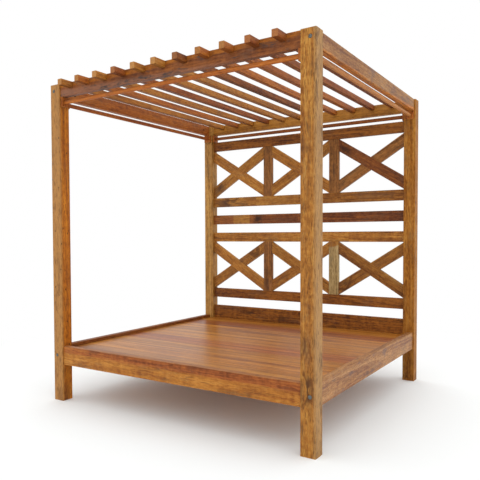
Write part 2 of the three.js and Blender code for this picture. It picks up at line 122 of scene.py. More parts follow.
class Signal:
    """A node's output that Python's operators can be used on."""

    def __init__(self, graph: "Graph", socket: bpy.types.NodeSocket) -> None:
        """Wraps a socket.

        Args:
            graph: The graph that the socket's node stands in.
            socket: The output to wrap.
        """
        self.graph = graph
        self.socket = socket

    @property
    def is_wide(self) -> bool:
        """True for a vector or a colour."""
        return self.socket.type in ("VECTOR", "RGBA")

    def __add__(self, other: Term) -> "Signal":
        """Adds a number, row or signal."""
        return self.graph.maths("ADD", self, other)

    def __radd__(self, other: Term) -> "Signal":
        """Adds this signal to a number or row."""
        return self.graph.maths("ADD", other, self)

    def __sub__(self, other: Term) -> "Signal":
        """Takes a number, row or signal away."""
        return self.graph.maths("SUBTRACT", self, other)

    def __rsub__(self, other: Term) -> "Signal":
        """Takes this signal away from a number or row."""
        return self.graph.maths("SUBTRACT", other, self)

    def __mul__(self, other: Term) -> "Signal":
        """Multiplies by a number, row or signal."""
        return self.graph.maths("MULTIPLY", self, other)

    def __rmul__(self, other: Term) -> "Signal":
        """Multiplies a number or row by this signal."""
        return self.graph.maths("MULTIPLY", other, self)

    def __truediv__(self, other: Term) -> "Signal":
        """Divides by a number, row or signal."""
        return self.graph.maths("DIVIDE", self, other)

    def most(self, other: Term) -> "Signal":
        """The larger of this number and another."""
        return self.graph.maths("MAXIMUM", self, other)

    def least(self, other: Term) -> "Signal":
        """The smaller of this number and another."""
        return self.graph.maths("MINIMUM", self, other)

    def size(self) -> "Signal":
        """This number without its sign."""
        return self.graph.maths("ABSOLUTE", self)

    def length(self) -> "Signal":
        """The length of this vector."""
        return self.graph.node("ShaderNodeVectorMath", {"operation": "LENGTH"}, {0: self}, "Value")

    def dot(self, direction: Sequence[float]) -> "Signal":
        """How far this vector reaches along a direction.

        Args:
            direction: A unit vector.

        Returns:
            The length along the direction.
        """
        settings = {"operation": "DOT_PRODUCT"}
        sockets = {0: self, 1: tuple(direction)}
        return self.graph.node("ShaderNodeVectorMath", settings, sockets, "Value")

    def rise(self, low: float, high: float) -> "Signal":
        """A smooth mask from this number.

        Args:
            low: Where the mask leaves 0.
            high: Where the mask reaches 1.

        Returns:
            The mask, from 0 to 1.
        """
        if low > high:
            return 1 - self.rise(high, low)
        settings = {"interpolation_type": "SMOOTHSTEP"}
        sockets = {"Value": self, "From Min": low, "From Max": high}
        return self.graph.node("ShaderNodeMapRange", settings, sockets)


class Graph:
    """The node tree of one material or of the world."""

    def __init__(self, owner: bpy.types.Material | bpy.types.World) -> None:
        """Empties a material's or world's node tree.

        Args:
            owner: The material or world to build for.
        """
        owner.use_nodes = True
        self.tree = owner.node_tree
        self.tree.nodes.clear()
        is_world = isinstance(owner, bpy.types.World)
        self.target = "ShaderNodeOutputWorld" if is_world else "ShaderNodeOutputMaterial"

    def node(
        self,
        kind: str,
        settings: Mapping[str, Any] | None = None,
        sockets: Mapping[str | int, Term] | None = None,
        output: str | int = 0,
    ) -> Signal:
        """Adds a node, sets it, feeds its inputs and hands one of its outputs back.

        Args:
            kind: The node's type.
            settings: The node's own settings, among them "stops" for a ramp.
            sockets: Values or signals for its inputs.
            output: The output to hand back.

        Returns:
            The chosen output.
        """
        made = self.tree.nodes.new(kind)
        for key, value in (settings or {}).items():
            if key == "stops":
                self._set_stops(made.color_ramp, value)
            else:
                setattr(made, key, value)
        for key, value in (sockets or {}).items():
            self._feed(made.inputs[key], value)
        return Signal(self, made.outputs[output])

    def _set_stops(self, ramp: bpy.types.ColorRamp, stops: Sequence[tuple[float, Row]]) -> None:
        """Gives a ramp its stops.

        Args:
            ramp: The ramp to set.
            stops: Places from 0 to 1, each with its colour.
        """
        while len(ramp.elements) < len(stops):
            ramp.elements.new(1)
        for element, (place, colour) in zip(ramp.elements, stops):
            element.position = place
            element.color = (*colour, 1)

    def _feed(self, socket: bpy.types.NodeSocket, value: Term) -> None:
        """Links a signal to an input, or sets the input's value.

        Args:
            socket: The input to feed.
            value: The signal, number or row.
        """
        if isinstance(value, Signal):
            self.tree.links.new(value.socket, socket)
        elif socket.type == "RGBA":
            socket.default_value = (*value, 1)
        elif socket.type == "VECTOR" and isinstance(value, (int, float)):
            socket.default_value = (value, value, value)
        else:
            socket.default_value = value

    def maths(self, operation: str, *terms: Term) -> Signal:
        """Adds a Math node, or a Vector Math node where a term is a vector or a colour.

        Args:
            operation: The node's operation.
            terms: What it works on.

        Returns:
            The result.
        """
        wide = any(isinstance(term, tuple) or getattr(term, "is_wide", False) for term in terms)
        kind = "ShaderNodeVectorMath" if wide else "ShaderNodeMath"
        return self.node(kind, {"operation": operation}, dict(enumerate(terms)))

    def vector(self, *numbers: Term) -> Signal:
        """Joins three numbers into a vector."""
        return self.node("ShaderNodeCombineXYZ", sockets=dict(enumerate(numbers)))

    def noise(
        self, place: Signal, detail: float, roughness: float, output: str | int = 0
    ) -> Signal:
        """Smooth noise in space, or along one line where the place is a number.

        Args:
            place: A vector or number, on which one unit is one cell of the noise.
            detail: How many finer layers are added.
            roughness: How strong each finer layer is.
            output: The first output for one number, or "Color" for three.

        Returns:
            The noise, about 0.5 on average.
        """
        settings = {"noise_dimensions": "3D" if place.is_wide else "1D"}
        sockets = {
            "Vector" if place.is_wide else "W": place,
            "Scale": 1,
            "Detail": detail,
            "Roughness": roughness,
        }
        return self.node("ShaderNodeTexNoise", settings, sockets, output)

    def blend(self, share: Term, first: Term, second: Term) -> Signal:
        """Blends two colours.

        Args:
            share: How much of the second colour is used, from 0 to 1.
            first: The first colour.
            second: The second colour.

        Returns:
            The blended colour.
        """
        sockets = {0: share, 6: first, 7: second}
        return self.node("ShaderNodeMix", {"data_type": "RGBA"}, sockets, 2)

    def bump(self, height: Signal, strength: float, distance: float) -> Signal:
        """Turns a height into a normal.

        Args:
            height: The height, as a share of the distance.
            strength: How strongly it shows, from 0 to 1.
            distance: What a height of 1 stands for.

        Returns:
            The normal.
        """
        sockets = {"Strength": strength, "Distance": distance, "Height": height}
        return self.node("ShaderNodeBump", sockets=sockets)

    def cover(self, kind: str, sockets: Mapping[str | int, Term]) -> None:
        """Adds a shader and gives it to the material or the world as its surface.

        Args:
            kind: The shader's type.
            sockets: Values or signals for its inputs.
        """
        shader = self.node(kind, sockets=sockets)
        target = self.tree.nodes.new(self.target)
        self._feed(target.inputs["Surface"], shader)


@dataclass(frozen=True)
class Shades:
    """The colours of one board: dark, middle and light bands, stains, and pale sapwood."""

    dark: str
    middle: str
    light: str
    stain: str
    sap: str


class Tone(Enum):
    """The tones that the stained hardwood comes in, and one lighter tone that is painted light."""

    GOLDEN = Shades("#76420d", "#a16724", "#b58037", "#452c1c", "#b28a56")
    HONEY = Shades("#824613", "#a86a24", "#bc8037", "#5e3718", "#bd8e59")
    COPPER = Shades("#7a400c", "#a65f12", "#bb741c", "#4c2c16", "#aa8049")
    AMBER = Shades("#7e3f13", "#a65c1e", "#bb732d", "#4c2a16", "#a67e48")
    # Painted bounce light: a lighter orange for the right beam's lowest strip and underside.
    BOUNCE_LIT_APRICOT = Shades("#a0561c", "#cf7c2c", "#e09848", "#7a4a26", "#c8986a")
    RUSSET = Shades("#68310e", "#944e1d", "#a9672a", "#40231a", "#ac7546")
    CHESTNUT = Shades("#5a2a0b", "#834718", "#9a5c24", "#361e10", "#9c683f")
    UMBER = Shades("#512707", "#824a10", "#9e611e", "#26150a", "#9c6a3a")
    WALNUT = Shades("#583412", "#8c5826", "#a67038", "#30231a", "#a07848")
    MAUVE = Shades("#582c12", "#854a20", "#a4632d", "#383434", "#92644c")
    OLIVE = Shades("#6e4a18", "#9a6c30", "#b08444", "#453823", "#bc9860")
    STRAW = Shades("#724410", "#a06a24", "#b58038", "#4a3420", "#bc9860")
    TAN = Shades("#7c482a", "#a3703f", "#bb8a58", "#6c5450", "#c89c74")
    CLAY = Shades("#7e4420", "#a76a33", "#be844a", "#5c4038", "#c08c5e")
    FAWN = Shades("#854c16", "#a96a20", "#bf8030", "#6c4022", "#c49050")
    ROSE = Shades("#6e3610", "#914c1a", "#ac6626", "#5c3018", "#b88050")
    GREY = Shades("#80683e", "#b09360", "#c4aa78", "#58503e", "#b8a884")


@dataclass(frozen=True)
class Lay:
    """How a board lies: its middle, the way its grain runs, and half its size each way."""

    centre: Vector
    along: Vector
    across: Vector
    through: Vector
    half: Row

    @staticmethod
    def of(box: tuple[Vector, Vector], along: Vector, across: Vector) -> "Lay":
        """Works out the lay of a board that runs along an axis.

        Args:
            box: The board's lowest and highest corner.
            along: The axis that its grain runs along.
            across: The axis that its wider side lies along.

        Returns:
            The board's lay.
        """
        low, high = box
        through = along.cross(across)
        half = tuple(abs((high - low).dot(axis)) / 2 for axis in (along, across, through))
        return Lay((low + high) / 2, along, across, through, half)


@dataclass(frozen=True)
class Knot:
    """A knot: its place from the board's middle, its reach, and how strongly it darkens."""

    place: Row
    reach: Row
    depth: float


@dataclass(frozen=True)
class Layer:
    """A layer of noise: its number, and its cells per metre along the grain and across it."""

    number: int
    along: float
    across: float
    detail: float = 2
    roughness: float = 0.5


@dataclass(frozen=True)
class Timber:
    """Lacquered hardwood for one board, with grain that runs right through it.

    Lengths are in metres, and places are taken from the board's middle: along, across and through
    it. The other values are mostly strengths from 0 to 1.

    Attributes:
        pith: Where the tree's heart passes the board, across and through it.
        lean: How far the heart moves across and through for each metre along.
        ring: The width of a year's ring.
        wave: How far the heart wanders.
        grain: Streaks per metre across the grain.
        vein: Veins per metre along the grain and across it.
        block: The length of the finger-jointed blocks, or 0 for a whole board.
        sap: The way to the sapwood, or zeros for none.
        sap_at: Where the sapwood starts on that way, and where it is whole.
        second_way: The way on which the second tone ends at second_below.
        drift: How much lighter the board's far end is than its middle.
    """

    tone: Tone
    seed: int
    pith: Row = (0.02, 0.07)
    lean: Row = (0.01, 0.02)
    ring: float = 0.011
    wave: float = 0.016
    grain: float = 90
    streaks: float = 0.8
    mottle: float = 0.9
    figure: float = 0.3
    clouds: float = 0.45
    smoke: float = 0.3
    veins: float = 0.5
    vein: Row = (10, 125)
    flecks: float = 0.6
    block: float = 0
    block_contrast: float = 0.6
    sap: Row = (0, 0, 0)
    sap_at: Row = (0.02, 0.04)
    second: Tone | None = None
    second_way: Row = (0, 1, 0)
    second_below: float = 0
    inset: Tone | None = None
    inset_from: float = 0
    inset_to: float = 0
    drift: float = 0
    wormholes: float = 0
    knots: tuple[Knot, ...] = ()
    gloss: float = 0.46
    lacquer: float = 0.24
    relief: float = 1
    wear: float = 0.3
    # Painted shade: how strongly the board's lower face and lowest edge are darkened.
    underside_shade: float = 0
    brightness: float = 1

    SMOKE = "#5a4a3e"
    WORMHOLE = "#24140c"
    SPECK_SHARE = 0.45
    SAP_SHARE = 0.7
    PORE_SHARE = 0.3
    JOINT_SHARE = 0.5
    END_SHARE = 0.4
    SECOND_WANDER = 60 * MM
    SECOND_RIPPLE = 12 * MM
    SECOND_BLUR = 7 * MM
    SAP_RIPPLE = 10 * MM
    STOPS = (0.2, 0.5, 0.8)
    BUMP_STRENGTH = 0.3
    BUMP_DISTANCE = 0.4 * MM

    def material(self, name: str, lay: Lay) -> bpy.types.Material:
        """Builds the board's material.

        Args:
            name: The material's name.
            lay: How the board lies.

        Returns:
            The material.
        """
        made = bpy.data.materials.new(name)
        graph = Graph(made)
        grain = Grain(self, graph, lay)
        colour = self._plain_colour(grain)
        for mask, stain in self._stains(grain):
            colour = graph.blend(mask, colour, stain)
        height = grain.height() * self.relief
        rough = (grain.slow - 0.5) * 0.12 + grain.pores * 0.15 + grain.worn * 0.1
        graph.cover("ShaderNodeBsdfPrincipled", {
            "Base Color": colour,
            "Roughness": 1 - self.gloss + rough,
            "Normal": graph.bump(height, self.BUMP_STRENGTH, self.BUMP_DISTANCE),
            "Specular IOR Level": self.lacquer,
        })
        return made

    def _plain_colour(self, grain: "Grain") -> Signal:
        """Colours the board with its tones and its sapwood.

        Args:
            grain: The board's grain.

        Returns:
            The colour, without stains.
        """
        blend = grain.graph.blend
        tone = grain.tone()
        colour = self._ramp(tone, self.tone.value)
        if self.inset is not None:
            after = grain.along.rise(self.inset_from, self.inset_from + MM)
            inset = after * grain.along.rise(self.inset_to + MM, self.inset_to)
            colour = blend(inset, colour, self._ramp(tone, self.inset.value))
        if self.second is not None:
            edge = grain.place.dot(self.second_way) + (grain.slow - 0.5) * self.SECOND_WANDER
            edge = edge + (grain.figure - 0.5) * self.SECOND_RIPPLE
            edge = edge - self.second_below
            below = edge.rise(self.SECOND_BLUR, -self.SECOND_BLUR)
            colour = blend(below, colour, self._ramp(tone, self.second.value))
        if any(self.sap):
            reach = grain.place.dot(self.sap) + (grain.streaks - 0.5) * self.SAP_RIPPLE
            sapwood = reach.rise(*self.sap_at) * self.SAP_SHARE
            colour = blend(sapwood, colour, linear(self.tone.value.sap))
        return colour

    def _stains(self, grain: "Grain") -> Iterator[tuple[Signal, Row]]:
        """Lists what darkens and lightens the board, painted shade on its lower face among them, in the
        order in which it is laid on.

        Args:
            grain: The board's grain.

        Yields:
            A mask and its colour.
        """
        shades = self.tone.value
        dark = linear(shades.dark)
        # The speck colour is also laid on lower faces as painted shade.
        speck = tuple(share * self.SPECK_SHARE for share in dark)
        smoke = (grain.haze + (grain.mottle - 0.5) * 0.4).rise(0.52, 0.7) * self.smoke
        cloud = (grain.patches + (grain.mottle - 0.5) * 0.3).rise(0.53, 0.7) * self.clouds
        veins = grain.veins * self.veins
        if grain.knot is not None:
            cloud = cloud.most(grain.knot * grain.patches.rise(0.4, 0.56))
            veins = veins.most(grain.knot * grain.rings.rise(0.5, 0.42) * 0.8)
        yield smoke, linear(self.SMOKE)
        yield cloud, linear(shades.stain)
        yield veins, speck
        yield grain.flecks * self.flecks, speck
        yield grain.pores * self.PORE_SHARE, dark
        if grain.holes is not None:
            yield grain.holes * self.wormholes, linear(self.WORMHOLE)
        if grain.joint is not None:
            yield grain.joint * self.JOINT_SHARE, dark
        yield grain.worn * self.wear, linear(shades.light)
        yield grain.ends.rise(2 * MM, 0.6 * MM) * self.END_SHARE, linear(shades.sap)
        # Painted shade: the lower face and the last 1.6 mm above it are darkened with the speck colour,
        # as shade under the board.
        if self.underside_shade:
            yield grain.lower_face.rise(1.6 * MM, 0.4 * MM) * self.underside_shade, speck

    def _ramp(self, tone: Signal, shades: Shades) -> Signal:
        """Turns a tone into a colour.

        Args:
            tone: The tone, from dark at 0 to light at 1.
            shades: The board's colours.

        Returns:
            The colour.
        """
        stops = tuple(
            (place, tuple(share * self.brightness for share in linear(shade)))
            for place, shade in zip(self.STOPS, (shades.dark, shades.middle, shades.light))
        )
        return tone.graph.node("ShaderNodeValToRGB", {"stops": stops}, {"Fac": tone})


class Grain:
    """The noise and the masks that one board's colour, gloss and relief are worked out from."""

    BENDS = ((Layer(0, 1.4, 8), 2.6), (Layer(1, 9, 34), 0.6))
    SLOW = Layer(3, 1.7, 10)
    FIGURE = Layer(4, 38, 13, roughness=0.6)
    FIBRE = Layer(5, 26, 1000, roughness=0.7)
    PATCHES = Layer(6, 6, 20, 4, 0.68)
    FLECKS = Layer(8, 26, 300, roughness=0.6)
    PORES = Layer(9, 70, 1500, 1)
    MOTTLE = Layer(12, 34, 95, 3, 0.65)
    HAZE = Layer(13, 4, 13, 4, 0.68)
    BLOCK_NUMBER = 10
    BLOCK_STEP = (0, 0.4, 0.3)
    TOOTH_WIDTH = 6 * MM
    TOOTH_LENGTH = 5 * MM
    HOLE_NUMBER = 11
    HOLE_CELLS = (16, 30, 30)
    RING_STEP = 7.3
    KNOT_SWELL = 40 * MM

    def __init__(self, timber: Timber, graph: Graph, lay: Lay) -> None:
        """Lays the grain out.

        Args:
            timber: The board's timber.
            graph: The graph to build in.
            lay: How the board lies.
        """
        self.timber = timber
        self.graph = graph
        point = graph.node("ShaderNodeTexCoord", output="Object") - tuple(lay.centre)
        ways = [point.dot(axis) for axis in (lay.along, lay.across, lay.through)]
        self.along, self.across = ways[:2]
        self.half_length = lay.half[0]
        self.ends, *sides = (half - way.size() for half, way in zip(lay.half, ways))
        self.lower_face = self.across + lay.half[1]
        self.place = graph.vector(*ways)
        self.space = self.place
        self.piece = None
        self.joint = None
        if timber.block:
            self.piece, self.joint = self._blocks()
            self.space = self.place + self.piece * self.BLOCK_STEP
        self.knot = self._knots()
        self.rings = self._rings()
        self.streaks = self._noise(Layer(2, timber.grain / 38, timber.grain, 3, 0.6))
        self.slow = self._noise(self.SLOW)
        self.figure = self._noise(self.FIGURE)
        self.mottle = self._noise(self.MOTTLE)
        self.fibre = self._noise(self.FIBRE)
        self.patches = self._noise(self.PATCHES)
        self.haze = self._noise(self.HAZE)
        self.veins = self._noise(Layer(7, *timber.vein, 3, 0.65)).rise(0.56, 0.7)
        self.flecks = self._noise(self.FLECKS).rise(0.53, 0.68)
        self.pores = self._noise(self.PORES).rise(0.6, 0.72)
        self.holes = self._holes() if timber.wormholes else None
        self.worn = self._worn(*sides)

    def _shift(self, number: int) -> Row:
        """A fixed place in the noise for this board.

        Args:
            number: The number of the layer that it is for.

        Returns:
            Three numbers from 0 to 60.
        """
        source = random.Random(self.timber.seed * 101 + number)
        return tuple(source.uniform(0, 60) for _ in range(3))

    def _noise(self, layer: Layer, output: str | int = 0) -> Signal:
        """Noise that is stretched along the grain.

        Args:
            layer: The layer of noise.
            output: The first output for one number, or "Color" for three.

        Returns:
            The noise, about 0.5 on average.
        """
        cells = (layer.along, layer.across, layer.across)
        place = self.space * cells + self._shift(layer.number)
        return self.graph.noise(place, layer.detail, layer.roughness, output)

    def _blocks(self) -> tuple[Signal, Signal]:
        """Cuts the board into finger-jointed blocks, each of its own tree.

        Returns:
            Three random numbers for the block that a point lies in, and a mask of the joints.
        """
        length = self.timber.block
        teeth = self.graph.maths("PINGPONG", self.across / self.TOOTH_WIDTH, 1)
        line = (self.along + teeth * self.TOOTH_LENGTH) / length
        sockets = {"W": line + self._shift(self.BLOCK_NUMBER)[0], "Scale": 1, "Randomness": 0.7}
        settings = {"voronoi_dimensions": "1D"}
        piece = self.graph.node("ShaderNodeTexVoronoi", settings, sockets, "Color")
        settings["feature"] = "DISTANCE_TO_EDGE"
        edge = self.graph.node("ShaderNodeTexVoronoi", settings, sockets, "Distance")
        return piece, edge.rise(0.9 * MM / length, 0.2 * MM / length)

    def _knots(self) -> Signal | None:
        """Marks the board's knots.

        Returns:
            A mask from 0 to 1, or nothing on a clear board.
        """
        total = None
        for knot in self.timber.knots:
            stretch = tuple(1 / reach for reach in knot.reach)
            near = ((self.place - knot.place) * stretch).length().rise(1, 0.1) * knot.depth
            total = near if total is None else total.most(near)
        return total

    def _rings(self) -> Signal:
        """Lays year rings round the tree's heart, whose line wanders past the board.

        Returns:
            Noise that follows the rings.
        """
        timber = self.timber
        along = self.space.dot(RIGHT)
        across, through = (along * lean + pith for lean, pith in zip(timber.lean, timber.pith))
        bent = self.space + self.graph.vector(0, across, through)
        for layer, share in self.BENDS:
            bent = bent + (self._noise(layer, "Color") - 0.5) * (timber.wave * share)
        heart = (bent * (0, 1, 1)).length()
        if self.knot is not None:
            heart = heart + self.knot * self.KNOT_SWELL
        return self.graph.noise(heart / timber.ring + timber.seed * self.RING_STEP, 2.5, 0.6)

    def _holes(self) -> Signal:
        """Scatters worm holes, a little longer along the grain than across it.

        Returns:
            A mask of the holes.
        """
        place = self.space * self.HOLE_CELLS + self._shift(self.HOLE_NUMBER)
        sockets = {"Vector": place, "Scale": 1, "Randomness": 1}
        near = self.graph.node("ShaderNodeTexVoronoi", sockets=sockets, output="Distance")
        return near.rise(0.13, 0.09)

    def _worn(self, sides: Signal, faces: Signal) -> Signal:
        """Marks where handling has thinned the lacquer along the board's edges.

        Args:
            sides: How far a point is from the nearer side.
            faces: How far it is from the nearer face.

        Returns:
            A mask of the worn edges, which the streaks break up.
        """
        near = sides.most(faces).least(self.ends.most(sides)).least(self.ends.most(faces))
        return (near - (self.streaks - 0.5) * (4 * MM)).rise(2.6 * MM, 0.6 * MM)

    def tone(self) -> Signal:
        """Adds up how light the timber is, from dark at 0 to light at 1.

        Returns:
            The tone.
        """
        timber = self.timber
        total = 0.5
        for mark, share in (
            (self.rings, timber.streaks),
            (self.streaks, 1.1 * timber.streaks),
            (self.slow, 0.6),
            (self.figure, timber.figure),
            (self.mottle, timber.mottle),
            (self.fibre, 0.35),
        ):
            total = total + (mark - 0.5) * share
        if timber.drift:
            total = total + self.along * (timber.drift / self.half_length)
        if self.piece is not None:
            total = total + (self.piece.dot(RIGHT) - 0.5) * timber.block_contrast
        return total

    def height(self) -> Signal:
        """Adds up how high the surface stands.

        Returns:
            The height, with pores, flecks, worm holes and joints below it.
        """
        dents = self.pores * 0.5 + self.flecks * 0.4
        if self.holes is not None:
            dents = dents + self.holes * 3
        if self.joint is not None:
            dents = dents + self.joint
        return self.fibre * 0.45 + self.rings * 0.2 + self.streaks * 0.3 - dents


@dataclass(frozen=True)
class Steel:
    """Steel for bolts, cross nuts and screws, with grime in random clouds and specks."""

    name: str
    colour: str
    grime: str
    roughness: float

    CLOUD_CELLS = 260
    SPECK_CELLS = 1500

    @cache
    def material(self) -> bpy.types.Material:
        """Builds the metal's material when it is first asked for.

        Returns:
            The material.
        """
        made = bpy.data.materials.new(self.name)
        graph = Graph(made)
        point = graph.node("ShaderNodeTexCoord", output="Object")
        cloud = graph.noise(point * self.CLOUD_CELLS, 3, 0.6)
        specks = graph.noise(point * self.SPECK_CELLS, 2, 0.6)
        stained = (cloud * 0.7 + specks * 0.3).rise(0.5, 0.66)
        graph.cover("ShaderNodeBsdfPrincipled", {
            "Base Color": graph.blend(stained * 0.55, linear(self.colour), linear(self.grime)),
            "Roughness": self.roughness + (cloud - 0.5) * 0.25 + stained * 0.15,
            "Normal": graph.bump(specks * 0.5 + cloud * 0.5, 0.2, 0.2 * MM),
            "Metallic": 1,
        })
        return made


class Joiner:
    """Eases edges and fits finishes to boards."""

    EASING = 0.8 * MM
    MERGING = 0.01 * MM
    FLAT = math.radians(0.5)
    SHARP = math.radians(30)

    def __init__(self) -> None:
        """Makes the node group that shades nearly flat edges smooth."""
        self.smoothing = self._smoothing_group()

    def _smoothing_group(self) -> bpy.types.GeometryNodeTree:
        """Builds the node group that shades a mesh smooth up to an angle.

        Returns:
            The node group.
        """
        group = bpy.data.node_groups.new("smooth_edges", "GeometryNodeTree")
        for way in ("INPUT", "OUTPUT"):
            group.interface.new_socket("Mesh", in_out=way, socket_type="NodeSocketGeometry")
        nodes = group.nodes
        source = nodes.new("NodeGroupInput")
        target = nodes.new("NodeGroupOutput")
        angle = nodes.new("GeometryNodeInputMeshEdgeAngle")
        below = nodes.new("FunctionNodeCompare")
        below.operation = "LESS_THAN"
        below.inputs[1].default_value = self.SHARP
        clear = nodes.new("GeometryNodeRemoveAttribute")
        clear.inputs["Name"].default_value = "custom_normal"
        faces = nodes.new("GeometryNodeSetShadeSmooth")
        faces.domain = "FACE"
        faces.inputs["Shade Smooth"].default_value = True
        edges = nodes.new("GeometryNodeSetShadeSmooth")
        edges.domain = "EDGE"
        links = group.links
        for first, second in ((source, clear), (clear, faces), (faces, edges), (edges, target)):
            links.new(first.outputs[0], second.inputs[0])
        links.new(angle.outputs[0], below.inputs[0])
        links.new(below.outputs[0], edges.inputs["Shade Smooth"])
        return group

    def smooth(self, piece: bpy.types.Object) -> None:
        """Shades a piece smooth where its edges are nearly flat."""
        piece.modifiers.new("smooth_edges", "NODES").node_group = self.smoothing

    def ease(self, board: bpy.types.Object, width: float = EASING) -> None:
        """Rounds a board's edges and smooths its shading.

        Args:
            board: The board.
            width: The width of the rounding.
        """
        weld = board.modifiers.new("joined_corners", "WELD")
        weld.merge_threshold = self.MERGING
        flat = board.modifiers.new("whole_faces", "DECIMATE")
        flat.decimate_type = "DISSOLVE"
        flat.angle_limit = self.FLAT
        round_over = board.modifiers.new("eased_edges", "BEVEL")
        round_over.width = width
        round_over.segments = 2
        round_over.limit_method = "ANGLE"
        round_over.angle_limit = self.SHARP
        self.smooth(board)
        level = board.modifiers.new("level_faces", "WEIGHTED_NORMAL")
        level.keep_sharp = True

    def dress(self, node: str, timber: Timber, lay: Lay) -> bpy.types.Object:
        """Gives a CAD node its timber and eased edges.

        Args:
            node: The CAD node.
            timber: The board's finish.
            lay: How the board lies.

        Returns:
            The node's object.
        """
        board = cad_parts[node]
        slot = board.material_slots[0]
        slot.link = "OBJECT"
        slot.material = timber.material(f"timber_{node}", lay)
        self.ease(board)
        return board


Board = tuple[str, Timber, Lay]


@dataclass
class SubAssembly:
    """A part of the daybed whose boards are CAD nodes."""

    joiner: Joiner

    def boards(self) -> Iterator[Board]:
        """Names the boards, each with its timber and its lay."""
        raise NotImplementedError

    def dress(self) -> list[bpy.types.Object]:
        """Finishes the boards and hands them back."""
        return [self.joiner.dress(*board) for board in self.boards()]


@dataclass
class Posts(SubAssembly):
    """The four corner posts."""

    timbers: dict[str, Timber] = field(default_factory=lambda: {
        "front_left": Timber(
            Tone.COPPER, 11, pith=(0.05, 0.04), wormholes=0.85, streaks=0.7, figure=0.35,
            smoke=0.2, veins=0.35, flecks=0.8, sap=(0, 0, -1), brightness=1.27,
            knots=(Knot((-0.97, 0.02, 0), (0.12, 0.06, 0.08), 0.6),),
        ),
        "front_right": Timber(
            Tone.GOLDEN, 12, pith=(0, 0.05), lean=(0.006, 0.012), ring=0.012, wave=0.024,
            streaks=0.5, mottle=1, clouds=0.6, veins=0.6, flecks=0.8, figure=0.6, sap=(0, 1, 0),
            brightness=1.08,
            knots=(
                Knot((-0.68, -0.01, -0.03), (0.13, 0.05, 0.05), 1),
                Knot((-0.47, -0.02, -0.03), (0.08, 0.04, 0.05), 0.5),
                Knot((-0.87, -0.035, -0.03), (0.04, 0.02, 0.03), 0.8),
                Knot((0.66, 0.035, -0.03), (0.14, 0.012, 0.02), 0.8),
            ),
        ),
        "rear_left": Timber(Tone.OLIVE, 13, brightness=1.3),
        "rear_right": Timber(
            Tone.GOLDEN, 14, lacquer=0.12, brightness=1.08, knots=(
                Knot((-0.9, 0, 0), (0.14, 0.06, 0.06), 1),
                Knot((-0.97, 0, 0), (0.08, 0.08, 0.08), 1),
            ),
        ),
    })

    def boards(self) -> Iterator[Board]:
        """Names the posts, each with its timber and its lay.

        Yields:
            One post after another.
        """
        for corner, timber in self.timbers.items():
            node = f"post_{corner}"
            yield node, timber, Lay.of(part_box(node), UP, RIGHT)


@dataclass
class Beams(SubAssembly):
    """The four beams at the top."""

    timbers: dict[str, Timber] = field(default_factory=lambda: {
        "front": Timber(
            Tone.MAUVE, 21, ring=0.03, streaks=0.65, clouds=0.9, figure=0.4, smoke=0.45,
            mottle=0.7, flecks=0.35, veins=0.35, second=Tone.COPPER, second_way=(0, -1, 0),
            second_below=-0.018, sap=(-0.03, -1, 0), sap_at=(0.014, 0.036), brightness=0.95,
        ),
        "rear": Timber(
            Tone.STRAW, 22, streaks=0.5, mottle=0.5, clouds=0.3, smoke=0.15, veins=0.3, flecks=0.35,
            brightness=1.14,
        ),
        "left": Timber(Tone.AMBER, 23),
        # The right beam's lowest strip and underside get a lighter orange tone as painted bounce light.
        "right": Timber(
            Tone.TAN, 24, smoke=0.45, clouds=0.6, second=Tone.BOUNCE_LIT_APRICOT, second_below=-0.034,
            drift=0.12, brightness=0.91,
        ),
    })

    def boards(self) -> Iterator[Board]:
        """Names the beams, each with its timber and its lay.

        Yields:
            One beam after another.
        """
        for side, timber in self.timbers.items():
            node = f"beam_{side}"
            along = RIGHT if side in ("front", "rear") else BACK
            yield node, timber, Lay.of(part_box(node), along, UP)


@dataclass
class Canopy(SubAssembly):
    """The slats let into the front and rear beams, from the left."""

    tones: tuple[Tone, ...] = (
        Tone.HONEY, Tone.AMBER, Tone.HONEY, Tone.RUSSET, Tone.HONEY, Tone.HONEY,
        Tone.CHESTNUT, Tone.AMBER, Tone.AMBER, Tone.RUSSET, Tone.RUSSET,
    )
    first_seed: int = 31

    def boards(self) -> Iterator[Board]:
        """Names the slats, each with its timber and its lay.

        Yields:
            One slat after another.
        """
        for index, tone in enumerate(self.tones):
            node = f"canopy_slat_{index + 1:02d}"
            # Each slat's lower face gets painted shade.
            timber = Timber(
                tone, self.first_seed + index, pith=(0.03, 0.05), ring=0.006, streaks=0.65,
                mottle=0.6, clouds=0.3, flecks=0.4, underside_shade=0.45,
            )
            yield node, timber, Lay.of(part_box(node), BACK, UP)


@dataclass
class CurtainRods(SubAssembly):
    """The four rods under the beams and the plates that hold them."""

    tones: dict[str, Tone] = field(default_factory=lambda: {
        "front": Tone.AMBER, "rear": Tone.CHESTNUT, "left": Tone.RUSSET, "right": Tone.CLAY,
    })
    rod_seed: int = 50
    plate_seed: int = 61
    seeds_for_each_rod: int = 3

    def boards(self) -> Iterator[Board]:
        """Names the rods and plates, each with its timber and its lay.

        Yields:
            Each rod, followed by its two plates.
        """
        for number, (side, tone) in enumerate(self.tones.items()):
            crosswise = side in ("front", "rear")
            along, across = (RIGHT, BACK) if crosswise else (BACK, RIGHT)
            ends = ("left", "right") if crosswise else ("front", "rear")
            node = f"curtain_rod_{side}"
            timber = Timber(
                tone, self.rod_seed + number, pith=(0.01, 0.02), ring=0.005, streaks=0.5,
                mottle=0.4, clouds=0.1, flecks=0.3, brightness=1.15,
            )
            yield node, timber, Lay.of(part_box(node), along, UP)
            for seed, end in enumerate(ends, self.plate_seed + self.seeds_for_each_rod * number):
                node = f"rod_plate_{side}_{end}"
                timber = Timber(Tone.AMBER, seed, ring=0.006, clouds=0.1)
                yield node, timber, Lay.of(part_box(node), UP, across)


